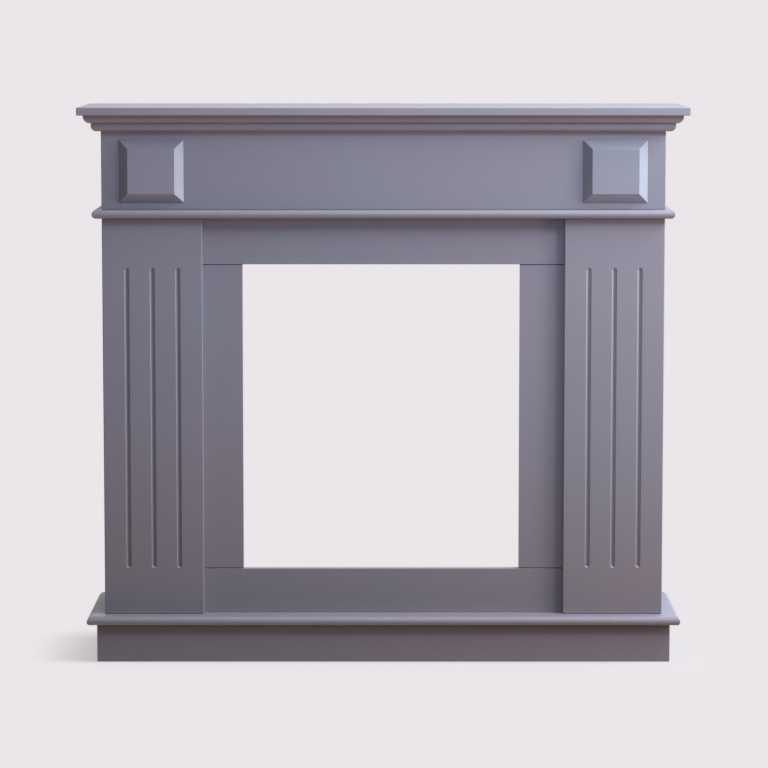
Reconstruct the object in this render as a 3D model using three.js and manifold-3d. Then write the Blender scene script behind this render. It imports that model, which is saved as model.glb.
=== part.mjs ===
// A free-standing fireplace surround of grey painted fibreboard. From the floor up: a plinth and a
// round-nosed hearth board, two fluted pilasters beside a framed fire opening, a round-nosed ledge,
// a frieze with a bevelled block at each end, and a mantel shelf on two rows of ovolo moulding.
// Lengths are in millimetres. Seen from the room, +X is to the right, +Y goes back to the wall and
// +Z is up. The origin is on the floor, at the middle of the shelf's width and depth.

import * as THREE from "three";
import { mergeVertices } from "three/addons/utils/BufferGeometryUtils.js";
import Module from "manifold-3d";

// Joints and edges
const JOINT = 0.3; // gap left wherever two pieces meet
const EASE = 1.2; // chamfer along the edges of plain boards
const ROUND_STEPS = 6; // flats in each quarter of a round edge

// Mantel shelf
const SHELF_WIDTH = 1200;
const SHELF_DEPTH = 280;
const SHELF_THICKNESS = 16;

// Bed mould: two ovolos that step out from the frieze to the shelf
const SHELF_LIP = 12; // shelf beyond the upper ovolo
const UPPER_REACH = 14; // upper ovolo beyond the lower one
const UPPER_HEIGHT = 16;
const UPPER_RADIUS = 14;
const LOWER_REACH = 18; // lower ovolo beyond the frieze
const LOWER_HEIGHT = 16;
const LOWER_RADIUS = 11;

// Frieze, and the side boards of the whole surround
const FRIEZE_HEIGHT = 154; // between the bed mould and the ledge
const FACE_THICKNESS = 16; // frieze board and pilasters
const SIDE_THICKNESS = 16;

// Bevelled block at each end of the frieze
const BLOCK_WIDTH = 127;
const BLOCK_HEIGHT = 123;
const BLOCK_THICKNESS = 16;
const BLOCK_LAND = 1; // square edge behind the bevel
const BLOCK_BEVEL = 17.4; // width of the bevel, seen from the front
const BLOCK_FROM_END = 35.5; // from the end of the frieze to the block
const BLOCK_FROM_LEDGE = 14; // from the ledge up to the block

// Ledge between the frieze and the pilasters
const LEDGE_THICKNESS = 18;
const LEDGE_REACH = 18; // beyond the frieze, in front and at each side

// Pilasters and their flutes
const PILASTER_WIDTH = 198;
const PILASTER_HEIGHT = 791;
const PILASTER_SETBACK = 2; // face behind the face of the frieze
const PILASTER_EASE = 2;
const FLUTE_COUNT = 3;
const FLUTE_PITCH = 50.5;
const FLUTE_WIDTH = 10;
const FLUTE_DEPTH = 4.5;
const CUTTER_PROUD = 1.2; // the flute cutter's size over the flute's, so that it stands out of the face
const FLUTE_FROM_TOP = 97;
const FLUTE_FROM_BOTTOM = 93;

// Inner frame round the fire opening
const FRAME_THICKNESS = 16;
const OPENING_WIDTH = 550;
const OPENING_OFFSET = -4.5; // the opening sits a little left of the middle
const TOP_RAIL_HEIGHT = 92;
const BOTTOM_RAIL_HEIGHT = 89;

// Hearth board
const HEARTH_THICKNESS = 18;
const HEARTH_REACH = 34; // beyond the pilasters, in front and at each side
const HEARTH_LOWER_RADIUS = 7; // under the nose; the rest of the thickness is the upper curve

// Plinth
const PLINTH_HEIGHT = 76;
const PLINTH_SETBACK = 19; // behind the nose of the hearth board
const PLINTH_THICKNESS = 16;

// Paint
const PAINT_COLOUR = 0x82808e;
const PAINT_ROUGHNESS = 0.42;

// Planes that the pieces share
const crownReach = SHELF_LIP + UPPER_REACH + LOWER_REACH;
const friezeHalf = SHELF_WIDTH / 2 - crownReach;
const wallY = SHELF_DEPTH / 2;
const shelfY = -SHELF_DEPTH / 2;
const friezeY = shelfY + crownReach;
const pilasterY = friezeY + PILASTER_SETBACK;
const frameY = pilasterY + FACE_THICKNESS;
const insideHalf = friezeHalf - SIDE_THICKNESS;
const hearthY = pilasterY - HEARTH_REACH;
const hearthHalf = friezeHalf + HEARTH_REACH;
const plinthY = hearthY + PLINTH_SETBACK;
const plinthHalf = hearthHalf - PLINTH_SETBACK;

// Heights that the pieces share
const hearthTop = PLINTH_HEIGHT + HEARTH_THICKNESS;
const ledgeTop = hearthTop + PILASTER_HEIGHT + LEDGE_THICKNESS;
const crownBase = ledgeTop + FRIEZE_HEIGHT;
const shelfTop = crownBase + LOWER_HEIGHT + UPPER_HEIGHT + SHELF_THICKNESS;

const wasm = await Module();
wasm.setup();

// A closed three.js geometry as a solid that can be joined and cut.
function toSolid(geometry) {
  const bare = geometry.clone();
  bare.deleteAttribute("normal");
  bare.deleteAttribute("uv");
  const merged = mergeVertices(bare, 1e-4);
  const vertProperties = merged.getAttribute("position").array;
  const triVerts = new Uint32Array(merged.index.array);
  return new wasm.Manifold(new wasm.Mesh({ numProp: 3, vertProperties, triVerts }));
}

// The solid back as a geometry with flat faces.
function toGeometry(solid) {
  const mesh = solid.getMesh();
  const geometry = new THREE.BufferGeometry();
  geometry.setAttribute("position", new THREE.BufferAttribute(mesh.vertProperties, 3));
  geometry.setIndex(new THREE.BufferAttribute(mesh.triVerts, 1));
  const flat = geometry.toNonIndexed();
  flat.computeVertexNormals();
  return flat;
}

// One named piece, in its own coat of paint.
function piece(name, geometry) {
  const paint = new THREE.MeshStandardMaterial({
    color: PAINT_COLOUR,
    roughness: PAINT_ROUGHNESS,
    metalness: 0,
  });
  const mesh = new THREE.Mesh(geometry, paint);
  mesh.name = name;
  return mesh;
}

// Edge shapes. Each is a list of [depth below the face, inset of the outline], face first.
function easedFace(thickness, ease) {
  return [[0, ease], [ease, 0], [thickness, 0]];
}

function easedBothFaces(thickness, ease) {
  return [[0, ease], [ease, 0], [thickness - ease, 0], [thickness, ease]];
}

// A round nose of two quarter circles, a lower one of the given radius and an upper one that
// takes up the rest of the thickness.
function roundNose(thickness, lowerRadius) {
  const upperRadius = thickness - lowerRadius;
  const points = [];
  for (let i = 0; i <= ROUND_STEPS; i += 1) {
    const angle = (Math.PI / 2) * (1 - i / ROUND_STEPS);
    points.push([upperRadius * (1 - Math.sin(angle)), upperRadius * (1 - Math.cos(angle))]);
  }
  for (let i = 1; i <= ROUND_STEPS; i += 1) {
    const angle = (Math.PI / 2) * (i / ROUND_STEPS);
    points.push([upperRadius + lowerRadius * Math.sin(angle), lowerRadius * (1 - Math.cos(angle))]);
  }
  return points;
}

// A board lying flat, face up at z = 0, centred in x, with y from 0 at its near edge. The edge shape
// runs round all four edges with mitred corners, or round three if the far edge is left square.
function board(width, length, edge, farEdgeSquare = false) {
  const levels = edge.length - 1;
  const geometry = new THREE.BoxGeometry(width, length, levels, 1, 1, levels);
  const position = geometry.getAttribute("position");
  for (let i = 0; i < position.count; i += 1) {
    const [depth, inset] = edge[Math.round(levels / 2 - position.getZ(i))];
    const x = Math.sign(position.getX(i)) * (width / 2 - inset);
    const isFar = position.getY(i) > 0;
    const farY = farEdgeSquare ? length : length - inset;
    position.setXYZ(i, x, isFar ? farY : inset, -depth);
  }
  geometry.computeVertexNormals();
  return geometry;
}

// The same board stood on its near edge, with its face towards the room at y = 0.
function stood(geometry) {
  return geometry.rotateX(Math.PI / 2);
}

// A board that stands along one side of the surround, from startY back to the wall, with its face
// outwards. side is -1 on the left and 1 on the right.
function sideBoard(name, side, outerX, startY, height, thickness) {
  const depth = wallY - startY;
  const mesh = piece(name, stood(board(depth, height, easedFace(thickness, EASE))));
  mesh.rotation.z = (side * Math.PI) / 2;
  mesh.position.set(side * outerX, startY + depth / 2, 0);
  return mesh;
}

// Section of an ovolo strip: x is out from the frieze and y is up. The top is square and the lower
// outer edge is a quarter circle.
function ovoloSection(reach, height, radius) {
  const round = Math.min(radius, height - JOINT, reach - JOINT);
  const section = new THREE.Shape();
  section.moveTo(JOINT, JOINT);
  section.lineTo(reach - round, JOINT);
  section.absarc(reach - round, JOINT + round, round, -Math.PI / 2, 0, false);
  section.lineTo(reach, height);
  section.lineTo(JOINT, height);
  section.closePath();
  return section;
}

// A strip of moulding along x, standing out towards -y. Its length is measured on the frieze. A
// mitred end grows with the distance out, at 45 degrees.
function strip(section, length, leftMitred, rightMitred) {
  const geometry = new THREE.ExtrudeGeometry(section, {
    depth: length,
    bevelEnabled: false,
    curveSegments: ROUND_STEPS,
  });
  const position = geometry.getAttribute("position");
  for (let i = 0; i < position.count; i += 1) {
    const out = position.getX(i);
    const right = length / 2 + (rightMitred ? out : 0);
    const left = -length / 2 - (leftMitred ? out : 0);
    const isRight = position.getZ(i) < length / 2;
    position.setXYZ(i, isRight ? right : left, -out, position.getY(i));
  }
  geometry.computeVertexNormals();
  return geometry;
}

// Three strips of one moulding, mitred round the front and both sides of the frieze.
function mouldingRow(name, section) {
  const mitreGap = JOINT / Math.SQRT2;
  const row = new THREE.Group();
  const front = piece(`${name}_front`, strip(section, 2 * (friezeHalf - mitreGap), true, true));
  front.position.y = friezeY;
  row.add(front);
  for (const [word, side] of [["left", -1], ["right", 1]]) {
    const length = wallY - friezeY - mitreGap;
    const mesh = piece(`${name}_${word}`, strip(section, length, side > 0, side < 0));
    mesh.rotation.z = (side * Math.PI) / 2;
    mesh.position.set(side * friezeHalf, wallY - length / 2, 0);
    row.add(mesh);
  }
  return row;
}

// Plinth: a front board and two side boards, open at the back.
function plinth() {
  const group = new THREE.Group();
  const thickness = PLINTH_THICKNESS - JOINT;
  const face = board(2 * plinthHalf, PLINTH_HEIGHT, easedFace(thickness, EASE));
  const front = piece("plinth_front", stood(face));
  front.position.y = plinthY;
  group.add(front);
  for (const [word, side] of [["left", -1], ["right", 1]]) {
    const startY = plinthY + PLINTH_THICKNESS;
    group.add(
      sideBoard(`plinth_side_${word}`, side, plinthHalf, startY, PLINTH_HEIGHT, PLINTH_THICKNESS),
    );
  }
  return group;
}

// Hearth board, with a round nose in front and at both sides.
function hearth() {
  const edge = roundNose(HEARTH_THICKNESS - JOINT, HEARTH_LOWER_RADIUS);
  const mesh = piece("hearth_board", board(2 * hearthHalf, wallY - hearthY, edge, true));
  mesh.position.set(0, hearthY, hearthTop);
  return mesh;
}

// One flute's cutter: a bar with a V-shaped edge and round ends, for a groove of the stated width and depth.
function fluteCutter() {
  const length = PILASTER_HEIGHT - FLUTE_FROM_TOP - FLUTE_FROM_BOTTOM;
  const reach = (CUTTER_PROUD * FLUTE_WIDTH) / 2;
  const bar = new THREE.CapsuleGeometry(reach, length - FLUTE_WIDTH, 4, 4);
  bar.scale(1, 1, (CUTTER_PROUD * FLUTE_DEPTH) / reach);
  return bar.translate(0, FLUTE_FROM_BOTTOM + length / 2, (CUTTER_PROUD - 1) * FLUTE_DEPTH);
}

// A pilaster: a plain board with a row of flutes down its face.
function pilaster(word, side) {
  const thickness = FACE_THICKNESS - JOINT;
  const height = PILASTER_HEIGHT - JOINT;
  let solid = toSolid(board(PILASTER_WIDTH, height, easedFace(thickness, PILASTER_EASE)));
  for (let i = 0; i < FLUTE_COUNT; i += 1) {
    const x = (i - (FLUTE_COUNT - 1) / 2) * FLUTE_PITCH;
    solid = solid.subtract(toSolid(fluteCutter().translate(x, 0, 0)));
  }
  const mesh = piece(`pilaster_${word}`, stood(toGeometry(solid)));
  mesh.position.set(side * (friezeHalf - PILASTER_WIDTH / 2), pilasterY, JOINT);
  return mesh;
}

// A board of the inner frame, from leftX to rightX and from bottom to top.
function frameBoard(name, leftX, rightX, bottom, top) {
  const edge = easedFace(FRAME_THICKNESS, EASE);
  const mesh = piece(name, stood(board(rightX - leftX, top - bottom - JOINT, edge)));
  mesh.position.set((leftX + rightX) / 2, frameY, bottom + JOINT);
  return mesh;
}

// Inner frame: rails right across, between the side panels, and stiles between the rails.
function innerFrame() {
  const group = new THREE.Group();
  const outer = insideHalf - JOINT;
  const openingLeft = OPENING_OFFSET - OPENING_WIDTH / 2;
  const openingRight = OPENING_OFFSET + OPENING_WIDTH / 2;
  const openingTop = PILASTER_HEIGHT - TOP_RAIL_HEIGHT;
  group.add(
    frameBoard("frame_bottom_rail", -outer, outer, 0, BOTTOM_RAIL_HEIGHT),
    frameBoard("frame_stile_left", -outer, openingLeft, BOTTOM_RAIL_HEIGHT, openingTop),
    frameBoard("frame_stile_right", openingRight, outer, BOTTOM_RAIL_HEIGHT, openingTop),
    frameBoard("frame_top_rail", -outer, outer, openingTop, PILASTER_HEIGHT),
  );
  return group;
}

// Everything that stands on the hearth board, up to the ledge.
function legs() {
  const group = new THREE.Group();
  group.add(innerFrame());
  for (const [word, side] of [["left", -1], ["right", 1]]) {
    const height = PILASTER_HEIGHT - JOINT;
    const panel = sideBoard(`side_panel_${word}`, side, friezeHalf, frameY, height, SIDE_THICKNESS);
    panel.position.z = JOINT;
    group.add(pilaster(word, side), panel);
  }
  group.position.z = hearthTop;
  return group;
}

// Ledge, with a full bullnose in front and at both sides.
function ledge() {
  const thickness = LEDGE_THICKNESS - JOINT;
  const depth = wallY - friezeY + LEDGE_REACH;
  const edge = roundNose(thickness, thickness / 2);
  const mesh = piece("ledge_board", board(2 * (friezeHalf + LEDGE_REACH), depth, edge, true));
  mesh.position.set(0, friezeY - LEDGE_REACH, ledgeTop);
  return mesh;
}

// A square block on the frieze, bevelled on all four sides.
function cornerBlock(word, side) {
  const thickness = BLOCK_THICKNESS - JOINT;
  const edge = [[0, BLOCK_BEVEL], [thickness - BLOCK_LAND, 0], [thickness, 0]];
  const mesh = piece(`corner_block_${word}`, stood(board(BLOCK_WIDTH, BLOCK_HEIGHT, edge)));
  const x = friezeHalf - BLOCK_FROM_END - BLOCK_WIDTH / 2;
  mesh.position.set(side * x, friezeY - BLOCK_THICKNESS, BLOCK_FROM_LEDGE);
  return mesh;
}

// Frieze box: a front board with two blocks, and two side boards. It runs up behind the bed mould.
function frieze() {
  const group = new THREE.Group();
  const height = FRIEZE_HEIGHT + LOWER_HEIGHT + UPPER_HEIGHT - JOINT;
  const edge = easedFace(FACE_THICKNESS - JOINT, EASE);
  const front = piece("frieze_board", stood(board(2 * friezeHalf, height, edge)));
  front.position.set(0, friezeY, JOINT);
  group.add(front);
  for (const [word, side] of [["left", -1], ["right", 1]]) {
    const startY = friezeY + FACE_THICKNESS;
    const panel = sideBoard(`frieze_side_${word}`, side, friezeHalf, startY, height, SIDE_THICKNESS);
    panel.position.z = JOINT;
    group.add(panel, cornerBlock(word, side));
  }
  group.position.z = ledgeTop;
  return group;
}

// Bed mould under the shelf, in two rows.
function bedMould() {
  const group = new THREE.Group();
  const lower = ovoloSection(LOWER_REACH, LOWER_HEIGHT, LOWER_RADIUS);
  const upper = ovoloSection(LOWER_REACH + UPPER_REACH, UPPER_HEIGHT, UPPER_RADIUS);
  const upperRow = mouldingRow("upper_ovolo", upper);
  upperRow.position.z = LOWER_HEIGHT;
  group.add(mouldingRow("lower_ovolo", lower), upperRow);
  group.position.z = crownBase;
  return group;
}

function shelf() {
  const edge = easedBothFaces(SHELF_THICKNESS - JOINT, EASE);
  const mesh = piece("mantel_shelf", board(SHELF_WIDTH, SHELF_DEPTH, edge));
  mesh.position.set(0, shelfY, shelfTop);
  return mesh;
}

const surround = new THREE.Group();
surround.name = "fireplace_surround";
surround.add(plinth(), hearth(), legs(), ledge(), frieze(), bedMould(), shelf());

export default surround;
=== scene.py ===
# %% [markdown]
# # A fireplace mantelpiece
#
# This lesson dresses a free-standing fire surround of grey painted fibreboard. The measured frame
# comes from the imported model, and every visible board is made again here with the rounded edges,
# mouldings, flutes and paint that the eye expects, in exactly the place that the frame gives it.

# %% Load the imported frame
import math

import bmesh
import bpy
from mathutils import Matrix, Vector


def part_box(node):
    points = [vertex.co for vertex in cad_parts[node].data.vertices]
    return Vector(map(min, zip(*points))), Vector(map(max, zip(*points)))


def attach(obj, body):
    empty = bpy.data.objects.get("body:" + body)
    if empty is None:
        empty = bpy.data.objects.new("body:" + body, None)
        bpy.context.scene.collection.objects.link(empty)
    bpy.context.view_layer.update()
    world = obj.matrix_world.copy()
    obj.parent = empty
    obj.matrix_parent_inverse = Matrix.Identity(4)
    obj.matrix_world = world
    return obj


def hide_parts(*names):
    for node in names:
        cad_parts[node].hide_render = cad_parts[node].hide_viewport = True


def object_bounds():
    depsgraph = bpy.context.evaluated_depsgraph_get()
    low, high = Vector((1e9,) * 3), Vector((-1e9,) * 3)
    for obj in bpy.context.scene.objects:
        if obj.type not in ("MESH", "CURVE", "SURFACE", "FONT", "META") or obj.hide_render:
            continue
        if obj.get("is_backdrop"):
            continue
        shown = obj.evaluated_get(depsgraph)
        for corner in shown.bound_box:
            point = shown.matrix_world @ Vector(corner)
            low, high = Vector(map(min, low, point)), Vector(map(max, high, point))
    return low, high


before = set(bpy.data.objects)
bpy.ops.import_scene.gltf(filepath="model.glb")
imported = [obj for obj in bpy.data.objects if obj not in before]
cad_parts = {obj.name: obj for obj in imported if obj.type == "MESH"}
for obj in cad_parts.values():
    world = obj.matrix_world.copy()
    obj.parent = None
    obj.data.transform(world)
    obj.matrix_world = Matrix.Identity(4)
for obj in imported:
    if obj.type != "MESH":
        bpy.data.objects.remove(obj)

cad_low, cad_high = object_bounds()
print(f"{len(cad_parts)} boards, {cad_high.x - cad_low.x:.3f} m wide, {cad_high.z:.3f} m high")

# %% [markdown]
# ## The camera
#
# The photograph looks straight at the front from a little above the shelf, so that the shelf's top
# shows as a thin bright strip. Its upright lines are parallel, as a lens shift or a correction on a
# computer makes them. A shift that large would push the object out of every other view, so a long
# lens, a small tilt and a small shift stand in for it. A long lens far away keeps the uprights
# nearly parallel.

# %% Camera
MM = 0.001
CAMERA_ACROSS = 1.2 * MM
CAMERA_DISTANCE = 6.0  # in front of the shelf's edge
CAMERA_HEIGHT = 1.289
CAMERA_TILT = math.radians(5.69)
LENS = 143.9
SHIFT = -0.085

camera = bpy.data.objects.new("camera", bpy.data.cameras.new("camera"))
bpy.context.scene.collection.objects.link(camera)
camera.location = (CAMERA_ACROSS, cad_low.y - CAMERA_DISTANCE, CAMERA_HEIGHT)
camera.rotation_euler = (math.radians(90) - CAMERA_TILT, 0, 0)
camera.data.lens = LENS
camera.data.shift_y = SHIFT
bpy.context.scene.camera = camera
print(f"lens {LENS:g} mm, {CAMERA_DISTANCE:g} m away")
print(f"tilted {math.degrees(CAMERA_TILT):.2f} degrees down")

# %% [markdown]
# ## Colours and nodes
#
# Colours are written as the hex values that a painter or a screen would give, and one function
# turns them into the linear values that the renderer works in. A second one adds one shader node
# with its settings and its links, so that each material below reads as a list of layers.

# %% Hex colours and one node
def linear(hex_colour):
    """An sRGB hex colour as linear red, green, blue and alpha."""
    channels = [(hex_colour >> shift & 255) / 255 for shift in (16, 8, 0)]
    return [c / 12.92 if c <= 0.04045 else ((c + 0.055) / 1.055) ** 2.4 for c in channels] + [1]


def add(tree, kind, links=(), sockets=(), **settings):
    """One node. links and sockets are (input, source socket or value) pairs."""
    node = tree.nodes.new(kind)
    for name, value in settings.items():
        setattr(node, name, value)
    for name, value in sockets:
        node.inputs[name].default_value = value
    for name, source in links:
        tree.links.new(source, node.inputs[name])
    return node


def new_tree(owner):
    """The owner's node tree, emptied."""
    owner.use_nodes = True
    owner.node_tree.nodes.clear()
    return owner.node_tree


print("middle grey is", [round(c, 3) for c in linear(0x808080)[:3]], "in linear values")

# %% [markdown]
# ## The stage
#
# The background of the photograph is one pale tone, on the floor and behind the object alike, with
# a faint shadow beside the plinth. A dome gives that tone to the camera alone, so that it doesn't
# light the paint. The floor is a disc whose own glow has the same tone. Part of the glow is
# swapped for plain diffuse floor near the object, and that part can take a shadow.

# %% Stage
BACKDROP = 0xEAE6E9
DOME_RADIUS = 25
FLOOR_RADIUS = 4
SHADOW_REACH = 0.16  # how far from the object the floor still takes its shadow


def camera_only(piece):
    """A stage piece that the camera sees and that no other ray meets."""
    piece.visible_diffuse = False
    piece.visible_glossy = False
    piece.visible_transmission = False
    piece.visible_volume_scatter = False
    piece.visible_shadow = False
    piece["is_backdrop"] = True


def mesh_object(name, bm):
    """A new object at the origin with the bmesh's shape."""
    mesh = bpy.data.meshes.new(name)
    bm.to_mesh(mesh)
    bm.free()
    piece = bpy.data.objects.new(name, mesh)
    bpy.context.scene.collection.objects.link(piece)
    return piece


bm = bmesh.new()
bmesh.ops.create_icosphere(bm, subdivisions=4, radius=DOME_RADIUS)
dome = mesh_object("dome", bm)
glow = bpy.data.materials.new("backdrop_glow")
tree = new_tree(glow)
light = add(tree, "ShaderNodeEmission", sockets=[("Color", linear(BACKDROP))])
add(tree, "ShaderNodeOutputMaterial", links=[("Surface", light.outputs[0])])
dome.data.materials.append(glow)
glow.cycles.emission_sampling = "NONE"
camera_only(dome)

bm = bmesh.new()
bmesh.ops.create_circle(bm, cap_ends=True, segments=128, radius=FLOOR_RADIUS)
floor = mesh_object("floor", bm)
camera_only(floor)
print(f"a dome of {DOME_RADIUS} m and a floor of {FLOOR_RADIUS} m")

# %% Floor finish
FLOOR_SHARE = 0.40  # part of the floor's tone that comes from its own lamps, and goes in shadow
FLOOR_ALBEDO = 0.06  # low, so that light off the object hardly tints the floor

pale = bpy.data.materials.new("pale_studio_floor")
pale.cycles.emission_sampling = "NONE"
tree = new_tree(pale)
where = add(tree, "ShaderNodeTexCoord")
near = add(tree, "ShaderNodeVectorMath", operation="ABSOLUTE", links=[(0, where.outputs["Object"])])
plinth_low, plinth_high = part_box("plinth_front")
footprint = (plinth_high.x, -plinth_low.y, 0)
beyond = add(
    tree, "ShaderNodeVectorMath", operation="SUBTRACT", links=[(0, near.outputs[0])],
    sockets=[(1, footprint)],
)
outside = add(
    tree, "ShaderNodeVectorMath", operation="MAXIMUM", links=[(0, beyond.outputs[0])],
    sockets=[(1, (0, 0, 0))],
)
gap = add(tree, "ShaderNodeVectorMath", operation="LENGTH", links=[(0, outside.outputs[0])])
takes = add(
    tree, "ShaderNodeMapRange", interpolation_type="SMOOTHSTEP",
    links=[("Value", gap.outputs["Value"])],
    sockets=[("From Min", 0), ("From Max", SHADOW_REACH), ("To Min", 1), ("To Max", 0)],
)
tone = linear(BACKDROP)[:3]
matt_tone = [FLOOR_ALBEDO * c / max(tone) for c in tone]
matt = add(tree, "ShaderNodeBsdfDiffuse", sockets=[("Color", matt_tone + [1])])
under = add(
    tree, "ShaderNodeEmission", sockets=[("Color", tone + [1]), ("Strength", 1 - FLOOR_SHARE)]
)
both = add(tree, "ShaderNodeAddShader", links=[(0, matt.outputs[0]), (1, under.outputs[0])])
full = add(tree, "ShaderNodeEmission", sockets=[("Color", tone + [1])])
shade = add(
    tree, "ShaderNodeMixShader",
    links=[(0, takes.outputs[0]), (1, full.outputs[0]), (2, both.outputs[0])],
)
add(tree, "ShaderNodeOutputMaterial", links=[("Surface", shade.outputs[0])])
floor.data.materials.append(pale)
print(f"the floor takes shadows up to {SHADOW_REACH} m away")

# %% [markdown]
# ## The light
#
# In the photograph everything that faces right is bright and everything that faces left is dark,
# and the right end is twice as bright as the left. So the main light is a bright window at the
# right, a little in front, and near enough to fall off along the shelf. Softer light comes from
# above and from the room in front, and the pale floor sends warm light back up under the ledge.
# Windows and ceiling are area lights, kept off the floor by light linking. The rest is the world,
# which only knows directions. The floor's shadow has two soft suns of its own.

# %% World
scene = bpy.context.scene
scene.view_settings.view_transform = "Standard"
world = bpy.data.worlds.new("room")
scene.world = world
tree = new_tree(world)
where = add(tree, "ShaderNodeTexCoord")


def zone(tree, total, toward, outer, inner, colour, strength):
    """Adds light from the directions round toward, full within inner degrees, none past outer."""
    angle = add(
        tree, "ShaderNodeVectorMath", operation="DOT_PRODUCT",
        links=[(0, where.outputs["Generated"])], sockets=[(1, Vector(toward).normalized())],
    )
    share = add(
        tree, "ShaderNodeMapRange", interpolation_type="SMOOTHSTEP",
        links=[("Value", angle.outputs["Value"])],
        sockets=[
            ("From Min", math.cos(math.radians(outer))),
            ("From Max", math.cos(math.radians(inner))), ("To Max", strength),
        ],
    )
    tint = add(
        tree, "ShaderNodeVectorMath", operation="SCALE", links=[("Scale", share.outputs[0])],
        sockets=[(0, linear(colour)[:3])],
    )
    if total is None:
        return tint
    return add(
        tree, "ShaderNodeVectorMath", operation="ADD",
        links=[(0, total.outputs[0]), (1, tint.outputs[0])],
    )


# In turn: a high window behind and to the right, the warm floor, the pale wall behind, and the dim
# far left of the room.
total = zone(tree, None, (0.6, 0.5, 0.6), 40, 15, 0xBBD9FF, 4.16)
total = zone(tree, total, (0, 0, -1), 80, 30, 0xFFDABF, 0.955)
total = zone(tree, total, (0, 1, 0.05), 60, 30, 0xFFF7EE, 0.856)
total = zone(tree, total, (-0.8, 0.6, 0.15), 50, 20, 0xE4EBFF, 0.65)
room = add(tree, "ShaderNodeBackground", links=[("Color", total.outputs[0])])
add(tree, "ShaderNodeOutputWorld", links=[("Surface", room.outputs[0])])
print("four zones of room light")


# %% Window and lamps
def area_light(name, place, aim, size, colour, watts):
    """A rectangular area light at place, turned towards aim, that the camera doesn't see."""
    lamp = bpy.data.lights.new(name, "AREA")
    lamp.shape = "RECTANGLE"
    lamp.size, lamp.size_y = size
    lamp.color = linear(colour)[:3]
    lamp.energy = watts
    piece = bpy.data.objects.new(name, lamp)
    bpy.context.scene.collection.objects.link(piece)
    piece.location = place
    piece.rotation_euler = (Vector(aim) - Vector(place)).to_track_quat("-Z", "Y").to_euler()
    piece.visible_camera = False
    piece.light_linking.receiver_collection = not_floor
    return piece


def receivers(name, include=(), exclude=()):
    """A collection for light linking, of the pieces that a lamp lights or leaves out."""
    group = bpy.data.collections.new(name)
    for piece in (*include, *exclude):
        group.objects.link(piece)
    for slot, piece in zip(group.collection_objects, (*include, *exclude)):
        slot.light_linking.link_state = "EXCLUDE" if piece in exclude else "INCLUDE"
    return group


only_floor = receivers("only_floor", include=[floor])
not_floor = receivers("not_floor", exclude=[floor])

main_window = area_light(
    "main_window", (1.9, -1.5, 2.0), (0.4, 0, 0.8), (0.5, 0.6), 0xFEF9FF, 30.2
)
side_window = area_light(
    "side_window", (1.8, -0.6, 2.1), (0.2, 0, 0.9), (0.7, 0.7), 0xECF8FF, 46.9
)
bevel_light = area_light(
    "bevel_light", (2.3, -0.8, 0.8), (0.3, 0, 0.6), (0.5, 0.6), 0x95DBFF, 16.9
)
area_light("low_window", (2.3, -0.8, 0.8), (0.3, 0, 0.6), (0.5, 0.6), 0xFFE7D1, 21.2)
area_light("room_in_front", (0, -3, 1.4), (0, 0, 0.7), (1, 1), 0xC4DAFF, 15.3)
area_light("front_ceiling", (0.4, -1.6, 2.5), (0, 0, 0.7), (1.4, 0.8), 0xE0F8FF, 20.3)
area_light("ceiling", (0, -0.35, 2.3), (0, -0.1, 0.9), (1.4, 0.3), 0xFFE0B3, 13.0)
print(len(bpy.data.lights), "lamps round the object")


# %% Floor lamps
def floor_lamp(name, toward, angle, share):
    """A soft sun for the floor alone, which gives that share of the floor's tone."""
    direction = Vector(toward).normalized()
    lamp = bpy.data.lights.new(name, "SUN")
    lamp.angle = math.radians(angle)
    lamp.energy = share * max(tone) * math.pi / (FLOOR_ALBEDO * direction.z)
    piece = bpy.data.objects.new(name, lamp)
    bpy.context.scene.collection.objects.link(piece)
    piece.rotation_euler = (-direction).to_track_quat("-Z", "Y").to_euler()
    piece.light_linking.receiver_collection = only_floor
    return lamp.energy


KEY_SHARE = 0.8  # of the floor lamps' light, from the side of the windows
energies = [
    floor_lamp("floor_key", (0.8, -0.15, 0.58), 25, KEY_SHARE * FLOOR_SHARE),
    floor_lamp("floor_fill", (0, -0.3, 1), 90, (1 - KEY_SHARE) * FLOOR_SHARE),
]
print("floor lamps", [round(e, 1) for e in energies])

# %% [markdown]
# ## Satin paint on fibreboard
#
# The real finish is a cool grey furniture paint, sprayed on and satin when dry. It has a soft
# sheen at a low angle, a very fine ripple that painters call orange peel, and a faint drift
# between blue grey and mauve grey where one pass of the spray gun overlaps the next. Near the
# floor the upright faces are painted a little warmer and darker, as painted warm light thrown up
# by the floor. One Principled shader does all of it: three noise patterns, sized in millimetres,
# give the drift, a slow wave and the fine ripple, and the painted floor light comes in by height.
# Patterns read Object coordinates, so that each keeps its real size. The ripple is drawn coarser
# than the real one, so that it shows at all.

# %% Satin paint
PAINT_BLUE = 0x80818F
PAINT_MAUVE = 0x847F8D
PAINTED_FLOOR_BOUNCE = (0.97, 0.915, 0.85)  # painted warm light from the floor: what is left of red, green and blue near the floor
PAINTED_BOUNCE_FULL, PAINTED_BOUNCE_GONE = 0.1, 0.5  # heights where the painted floor light is full and where it is gone
DRIFT_SIZE = 320 * MM  # the width of a pass of the spray gun
PEEL_SIZE, PEEL_HEIGHT = 3 * MM, 0.1 * MM
WAVE_SIZE, WAVE_HEIGHT = 45 * MM, 0.4 * MM
SATIN = (0.36, 0.44)  # roughness, from the glossiest to the dullest places
IOR = 1.5  # of dried acrylic paint

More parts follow.
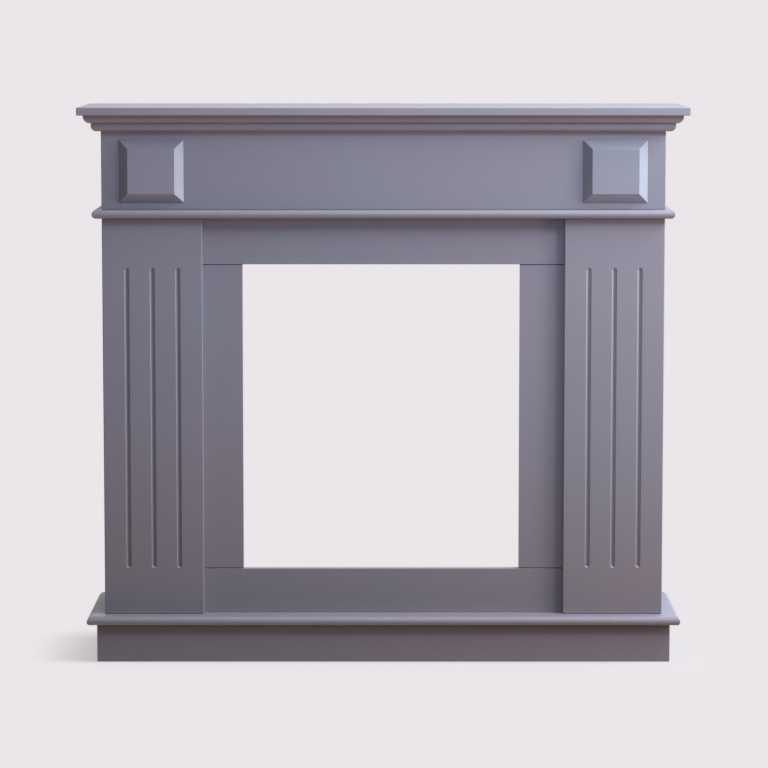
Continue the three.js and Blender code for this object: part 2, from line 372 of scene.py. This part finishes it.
paint = bpy.data.materials.new("satin_paint_on_fibreboard")
tree = new_tree(paint)
where = add(tree, "ShaderNodeTexCoord")
drift = add(
    tree, "ShaderNodeTexNoise", links=[("Vector", where.outputs["Object"])],
    sockets=[("Scale", 1 / DRIFT_SIZE), ("Detail", 3), ("Roughness", 0.6)],
)
passes = add(
    tree, "ShaderNodeMapRange", links=[("Value", drift.outputs["Fac"])],
    sockets=[("From Min", 0.35), ("From Max", 0.65)],
)
coat = add(
    tree, "ShaderNodeMix", data_type="RGBA", links=[("Factor", passes.outputs[0])],
    sockets=[(6, linear(PAINT_BLUE)), (7, linear(PAINT_MAUVE))],
)
# Painted light: upright faces near the floor are multiplied by a warm, slightly darker tint, which
# paints the warm light that the floor sends up.
height = add(tree, "ShaderNodeSeparateXYZ", links=[("Vector", where.outputs["Object"])])
low_down = add(
    tree, "ShaderNodeMapRange", interpolation_type="SMOOTHSTEP",
    links=[("Value", height.outputs["Z"])],
    sockets=[("From Min", PAINTED_BOUNCE_FULL), ("From Max", PAINTED_BOUNCE_GONE), ("To Min", 1), ("To Max", 0)],
)
surface = add(tree, "ShaderNodeNewGeometry")
facing = add(tree, "ShaderNodeSeparateXYZ", links=[("Vector", surface.outputs["Normal"])])
lean = add(tree, "ShaderNodeMath", operation="ABSOLUTE", links=[(0, facing.outputs["Z"])])
upright = add(
    tree, "ShaderNodeMapRange", links=[("Value", lean.outputs[0])],
    sockets=[("From Min", 0.1), ("From Max", 0.5), ("To Min", 1), ("To Max", 0)],
)
painted_bounce_share = add(
    tree, "ShaderNodeMath", operation="MULTIPLY",
    links=[(0, low_down.outputs[0]), (1, upright.outputs[0])],
)
bounce_tinted_coat = add(
    tree, "ShaderNodeMix", data_type="RGBA", blend_type="MULTIPLY",
    links=[("Factor", painted_bounce_share.outputs[0]), (6, coat.outputs[2])], sockets=[(7, PAINTED_FLOOR_BOUNCE + (1,))],
)
peel = add(
    tree, "ShaderNodeTexNoise", links=[("Vector", where.outputs["Object"])],
    sockets=[("Scale", 1 / PEEL_SIZE), ("Detail", 1)],
)
wave = add(
    tree, "ShaderNodeTexNoise", links=[("Vector", where.outputs["Object"])],
    sockets=[("Scale", 1 / WAVE_SIZE), ("Detail", 2)],
)
ripple = add(
    tree, "ShaderNodeBump", links=[("Height", wave.outputs["Fac"])],
    sockets=[("Strength", 0.25), ("Distance", WAVE_HEIGHT)],
)
skin = add(
    tree, "ShaderNodeBump", links=[("Height", peel.outputs["Fac"]), ("Normal", ripple.outputs[0])],
    sockets=[("Strength", 0.2), ("Distance", PEEL_HEIGHT)],
)
gloss = add(
    tree, "ShaderNodeMapRange", links=[("Value", wave.outputs["Fac"])],
    sockets=[("To Min", SATIN[0]), ("To Max", SATIN[1])],
)
body = add(
    tree, "ShaderNodeBsdfPrincipled",
    links=[
        ("Base Color", bounce_tinted_coat.outputs[2]), ("Roughness", gloss.outputs[0]),
        ("Normal", skin.outputs[0]),
    ],
    sockets=[("IOR", IOR)],
)
add(tree, "ShaderNodeOutputMaterial", links=[("Surface", body.outputs[0])])
print(paint.name, len(tree.nodes), "nodes")

# %% [markdown]
# ## Starting from a board
#
# On the real surround each piece is sawn from fibreboard, and its edges are eased with fine paper,
# because paint chips off a sharp edge. Each piece here starts the same way: a bmesh cube is scaled
# to the board's own size in its own place, and a bevel eases its edges. Wide faces stay flat in the
# shading with a weighted normal modifier, and only the narrow rounds catch the light, which is what
# makes painted board look solid. An edge that turns by more than 33 degrees stays crisp.

# %% Box and finish helpers
ROUND = 3  # segments of an eased edge
SHARP = math.radians(33)  # a crisper turn than this stays crisp in the shading


def board_bmesh(node, foot_gap=0):
    """A bmesh box that fills the CAD node's box, less a gap under its foot."""
    low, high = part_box(node)
    low.z += foot_gap
    bm = bmesh.new()
    bmesh.ops.create_cube(bm, size=1)
    bmesh.ops.scale(bm, vec=high - low, verts=bm.verts)
    bmesh.ops.translate(bm, vec=(low + high) / 2, verts=bm.verts)
    return bm, low, high


def round_edges(bm, edges, radius, segments=ROUND):
    """Rounds the edges with a quarter circle of that radius."""
    bmesh.ops.bevel(
        bm, geom=list(edges), offset=radius, offset_type="OFFSET", segments=segments,
        profile=0.5, affect="EDGES", material=-1, clamp_overlap=True,
    )


def finish_board(bm, node):
    """The bmesh as a painted piece that stands for the node."""
    for face in bm.faces:
        face.smooth = True
    for edge in bm.edges:
        edge.smooth = edge.is_manifold and edge.calc_face_angle() < SHARP
    piece = mesh_object(node + "_painted", bm)
    piece.data.materials.append(paint)
    even = piece.modifiers.new("even_shading", "WEIGHTED_NORMAL")
    even.keep_sharp = True
    even.weight = 100
    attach(piece, "root")
    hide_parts(node)
    return piece


# %% [markdown]
# ## Plain boards
#
# The frieze, its two side boards, the side panels and the plinth are plain rectangular boards.
# Sanding and two coats of paint leave a round of about a millimetre along their edges.

# %% Plain boards
PLAIN = [
    "frieze_board", "frieze_side_left", "frieze_side_right", "side_panel_left", "side_panel_right",
    "plinth_front", "plinth_side_left", "plinth_side_right",
]
EASE = 1.0 * MM
for node in PLAIN:
    bm, low, high = board_bmesh(node)
    round_edges(bm, bm.edges, EASE)
    finish_board(bm, node)
print(len(PLAIN), "plain boards")

# %% [markdown]
# ## The frame round the fire
#
# Four flat boards surround the opening. They are butted together, not mitred, and were painted
# before they were joined, so each joint shows as a fine dark line. The front of each upright is
# made a little short at both ends, down to a step in its thickness: the line is then a real groove
# with its own shade, where a painted line would look flat, and the step keeps daylight from behind
# out of it. Edges that have to meet closely are eased less, on the faces alone.

# %% Inner frame
FRAME_EASE = 0.5 * MM
JOINT_LINE = 1.3 * MM
JOINT_DEPTH = 10 * MM
STEP = 0.05 * MM  # how far the groove's closed end leans


def groove_both_ends(bm, low, high):
    """Shortens the front of an upright board, above and below, down to JOINT_DEPTH."""
    for depth in (JOINT_DEPTH, JOINT_DEPTH + STEP):
        bmesh.ops.bisect_plane(
            bm, geom=bm.verts[:] + bm.edges[:] + bm.faces[:], dist=1e-7,
            plane_co=(0, low.y + depth, 0), plane_no=(0, 1, 0),
        )
    front = [v for v in bm.verts if v.co.y < low.y + JOINT_DEPTH + STEP / 2]
    middle = (low.z + high.z) / 2
    for end, gap in ((1, -JOINT_LINE), (-1, JOINT_LINE)):
        tips = [v for v in front if (v.co.z - middle) * end > 0]
        bmesh.ops.translate(bm, vec=(0, 0, gap), verts=tips)


def face_edges(bm, low, high):
    """The edges round the board's front and back faces."""
    return [
        edge for edge in bm.edges
        if any(all(abs(v.co.y - y) < 1e-6 for v in edge.verts) for y in (low.y, high.y))
    ]


for node in ("frame_top_rail", "frame_bottom_rail", "frame_stile_left", "frame_stile_right"):
    bm, low, high = board_bmesh(node)
    if "stile" in node:
        groove_both_ends(bm, low, high)
    round_edges(bm, face_edges(bm, low, high), FRAME_EASE)
    finish_board(bm, node)
print(f"four boards round the opening, joint lines {JOINT_LINE / MM:g} mm wide")

# %% [markdown]
# ## The mantel shelf
#
# The shelf stands out over everything else and is handled most, so its edge has a larger round,
# which gives the thin pale line along its top. Seen from behind, its top faces the windows at a
# very low angle, and satin paint turns into a mirror there. So the two windows light the shelf
# through copies that give no gloss, as a photographer would shade it with a flag.

# %% Mantel shelf
SHELF_EASE = 1.6 * MM
bm, low, high = board_bmesh("mantel_shelf")
round_edges(bm, bm.edges, SHELF_EASE)
shelf = finish_board(bm, "mantel_shelf")

only_shelf = receivers("only_shelf", include=[shelf])
not_shelf = receivers("not_shelf", exclude=[floor, shelf])
for window in (main_window, side_window):
    matt_copy = window.copy()
    matt_copy.name = window.name + "_for_the_shelf"
    bpy.context.scene.collection.objects.link(matt_copy)
    matt_copy.visible_glossy = False
    matt_copy.light_linking.receiver_collection = only_shelf
    window.light_linking.receiver_collection = not_shelf
print(f"a shelf {high.x - low.x:.3f} m wide and {high.y - low.y:.3f} m deep")

# %% [markdown]
# ## Ovolo mouldings
#
# Two rows of quarter-round moulding, which joiners call ovolo, carry the shelf, the larger one
# above. Such a strip is run over a shaped cutter, and its ends are cut at 45 degrees where it turns
# the corner. Here a bevel of one lower edge gives the quarter round, a bisect plane cuts each mitre
# and a hole fill closes it. A profile swept along a path would turn the corner too, but without the
# hairline that shows where two strips meet.

# %% Ovolo mouldings
def outer_edges(bm, low, high, z, sides):
    """The edges at height z that lie along the named outer sides."""
    planes = {"front": (1, low.y), "left": (0, low.x), "right": (0, high.x)}
    found = []
    for edge in bm.edges:
        a, b = (v.co for v in edge.verts)
        if abs(a.z - z) > 1e-6 or abs(b.z - z) > 1e-6:
            continue
        for side in sides:
            axis, place = planes[side]
            if abs(a[axis] - place) < 1e-6 and abs(b[axis] - place) < 1e-6:
                found.append(edge)
    return found


def mitre(bm, corner, outward):
    """Cuts the strip at 45 degrees through the corner, and closes the cut."""
    cut = bmesh.ops.bisect_plane(
        bm, geom=bm.verts[:] + bm.edges[:] + bm.faces[:], dist=1e-7, plane_co=corner,
        plane_no=outward, clear_outer=True,
    )
    edges = [g for g in cut["geom_cut"] if isinstance(g, bmesh.types.BMEdge)]
    bmesh.ops.holes_fill(bm, edges=edges)


MITRE_GAP = 0.15 * MM
OVOLO_RADIUS = {"upper_ovolo": 14 * MM, "lower_ovolo": 11 * MM}
frieze_low, frieze_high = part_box("frieze_board")
for row, radius in OVOLO_RADIUS.items():
    for place in ("front", "left", "right"):
        node = f"{row}_{place}"
        bm, low, high = board_bmesh(node)
        round_edges(bm, outer_edges(bm, low, high, low.z, [place]), radius, segments=10)
        for side, x in ((-1, frieze_low.x), (1, frieze_high.x)):
            corner = Vector((x, frieze_low.y, 0))
            if place == "front":
                away = Vector((side, 1, 0)).normalized()
            elif (place == "left") == (side < 0):
                away = Vector((-side, -1, 0)).normalized()
            else:
                continue
            mitre(bm, corner - away * MITRE_GAP, away)
        finish_board(bm, node)
print(f"{len(OVOLO_RADIUS)} rows of moulding, in {3 * len(OVOLO_RADIUS)} strips")

# %% [markdown]
# ## Round-nosed boards
#
# The ledge under the frieze and the hearth board over the plinth have a moulded nose on three
# sides. A router gives it two rounds of different size, which run from pale above to dark below.
# Here they are two bevels, of the upper and of the lower outer edges, that meet on a narrow flat.

# %% Ledge and hearth board
LOWER_ROUND = {"ledge_board": 8.8 * MM, "hearth_board": 7 * MM}
NOSE_FLAT = 0.1 * MM  # between the two rounds
NOSED_SIDES = ("front", "left", "right")
for node, lower_radius in LOWER_ROUND.items():
    bm, low, high = board_bmesh(node)
    upper_radius = (high.z - low.z) - lower_radius - NOSE_FLAT
    round_edges(bm, outer_edges(bm, low, high, high.z, NOSED_SIDES), upper_radius, segments=8)
    round_edges(bm, outer_edges(bm, low, high, low.z, NOSED_SIDES), lower_radius, segments=8)
    finish_board(bm, node)
    print(f"{node}: rounds of {upper_radius / MM:.1f} and {lower_radius / MM:.1f} mm")

# %% [markdown]
# ## Corner blocks
#
# A square block sits at each end of the frieze, in the place that a carved rosette has on an older
# fireplace. It is a flat square with four wide bevels down to the board, sawn on a tilted blade. An
# inset of the front face draws the flat square, and the face's old corners are moved back. The
# edges stay nearly sharp, so that each bevel keeps a tone of its own. A lamp of their own lifts the
# bevels that face the window, as they are the brightest part of the photograph.

# %% Corner blocks
BEVEL_WIDTH = 17.4 * MM
BLOCK_EASE = 0.4 * MM
blocks = []
LAND = 1 * MM  # the upright side that is left under the bevel
for node in ("corner_block_left", "corner_block_right"):
    bm, low, high = board_bmesh(node)
    front = min(bm.faces, key=lambda face: face.calc_center_median().y)
    corners = list(front.verts)
    bmesh.ops.inset_individual(
        bm, faces=[front], thickness=BEVEL_WIDTH, use_even_offset=True, use_relative_offset=False,
    )
    bevel_depth = high.y - LAND - low.y
    bmesh.ops.translate(bm, vec=(0, bevel_depth, 0), verts=corners)
    round_edges(bm, bm.edges, BLOCK_EASE)
    blocks.append(finish_board(bm, node))
bevel_light.light_linking.receiver_collection = receivers("only_blocks", include=blocks)
print(f"{len(blocks)} blocks with bevels {BEVEL_WIDTH / MM:g} mm wide")

# %% [markdown]
# ## Pilasters
#
# Each pilaster is a board with three grooves. A pointed router bit is lowered into the wood, run
# down and lifted out again, which leaves two straight walls that meet in a line, and cone-shaped
# ends. The cutter here is the shape that such a bit sweeps: a cone is cut in half, the halves are
# moved apart and the gap is closed by extruding the rim. An exact Boolean takes it out of the
# board. The board's long edges have larger rounds than the rest, and a thin gap under its foot
# gives the dark line on the hearth board.

# %% Pilasters
PILASTER_EASE = 2 * MM
FOOT_GAP = 0.9 * MM  # the thin dark line under each pilaster
FLUTE_PITCH = 50.5 * MM
FLUTE_WIDTH = 10 * MM
FLUTE_DEPTH = 4.5 * MM
CUTTER_PROUD = 1.2  # the cutter's size over the flute's, so that it stands out of the face
FLUTE_FROM_TOP = 97 * MM
FLUTE_FROM_BOTTOM = 93 * MM


def flute_cutter(x, y, bottom, top):
    """A bar with a V-shaped edge and cone ends, as a pointed router bit would sweep."""
    radius, depth = CUTTER_PROUD * FLUTE_WIDTH / 2, CUTTER_PROUD * FLUTE_DEPTH
    bm = bmesh.new()
    bmesh.ops.create_cone(bm, cap_ends=True, segments=32, radius1=radius, radius2=0, depth=depth)
    bmesh.ops.rotate(bm, matrix=Matrix.Rotation(math.radians(-90), 3, "X"), verts=bm.verts)
    half = bmesh.ops.bisect_plane(
        bm, geom=bm.verts[:] + bm.edges[:] + bm.faces[:], dist=1e-7, plane_no=(0, 0, 1),
        clear_outer=True,
    )
    rim = [g for g in half["geom_cut"] if isinstance(g, bmesh.types.BMEdge)]
    upper = bmesh.ops.duplicate(bm, geom=bm.verts[:] + bm.edges[:] + bm.faces[:])
    upper = [g for g in upper["geom"] if isinstance(g, bmesh.types.BMVert)]
    bmesh.ops.rotate(bm, matrix=Matrix.Rotation(math.radians(180), 3, "Y"), verts=upper)
    walls = bmesh.ops.extrude_edge_only(bm, edges=rim)
    walls = [g for g in walls["geom"] if isinstance(g, bmesh.types.BMVert)]
    bmesh.ops.translate(bm, vec=(0, 0, top - bottom - FLUTE_WIDTH), verts=upper + walls)
    bmesh.ops.remove_doubles(bm, verts=bm.verts, dist=1e-6)
    bmesh.ops.recalc_face_normals(bm, faces=bm.faces)
    place = (x, y + FLUTE_DEPTH - depth / 2, bottom + FLUTE_WIDTH / 2)
    bmesh.ops.translate(bm, vec=place, verts=bm.verts)
    return bm


def cut_flutes(piece, cutters):
    """Takes every cutter out of the piece's mesh, and deletes the cutters."""
    for cutter in cutters:
        cut = piece.modifiers.new("flute", "BOOLEAN")
        cut.operation = "DIFFERENCE"
        cut.object = cutter
        cut.solver = "EXACT"
    graph = bpy.context.evaluated_depsgraph_get()
    result = bpy.data.meshes.new_from_object(piece.evaluated_get(graph))
    piece.modifiers.clear()
    piece.data = result
    for cutter in cutters:
        bpy.data.objects.remove(cutter)


for node in ("pilaster_left", "pilaster_right"):
    bm, low, high = board_bmesh(node, foot_gap=FOOT_GAP)
    above_foot = [edge for edge in bm.edges if max(v.co.z for v in edge.verts) > low.z + MM]
    round_edges(bm, above_foot, PILASTER_EASE)
    piece = mesh_object(node + "_plain", bm)
    middle = (low.x + high.x) / 2
    flute_bottom = low.z - FOOT_GAP + FLUTE_FROM_BOTTOM
    flute_top = high.z - FLUTE_FROM_TOP
    cutters = []
    for i in (-1, 0, 1):
        bar = flute_cutter(middle + i * FLUTE_PITCH, low.y, flute_bottom, flute_top)
        cutters.append(mesh_object(f"cutter_{i}", bar))
    cut_flutes(piece, cutters)
    bm = bmesh.new()
    bm.from_mesh(piece.data)
    bpy.data.objects.remove(piece)
    finish_board(bm, node)
print(f"two pilasters, with flutes {(flute_top - flute_bottom) / MM:.0f} mm long")

# %% Sizes and finish
low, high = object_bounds()
print("visual size", [round(high[i] - low[i], 4) for i in range(3)])
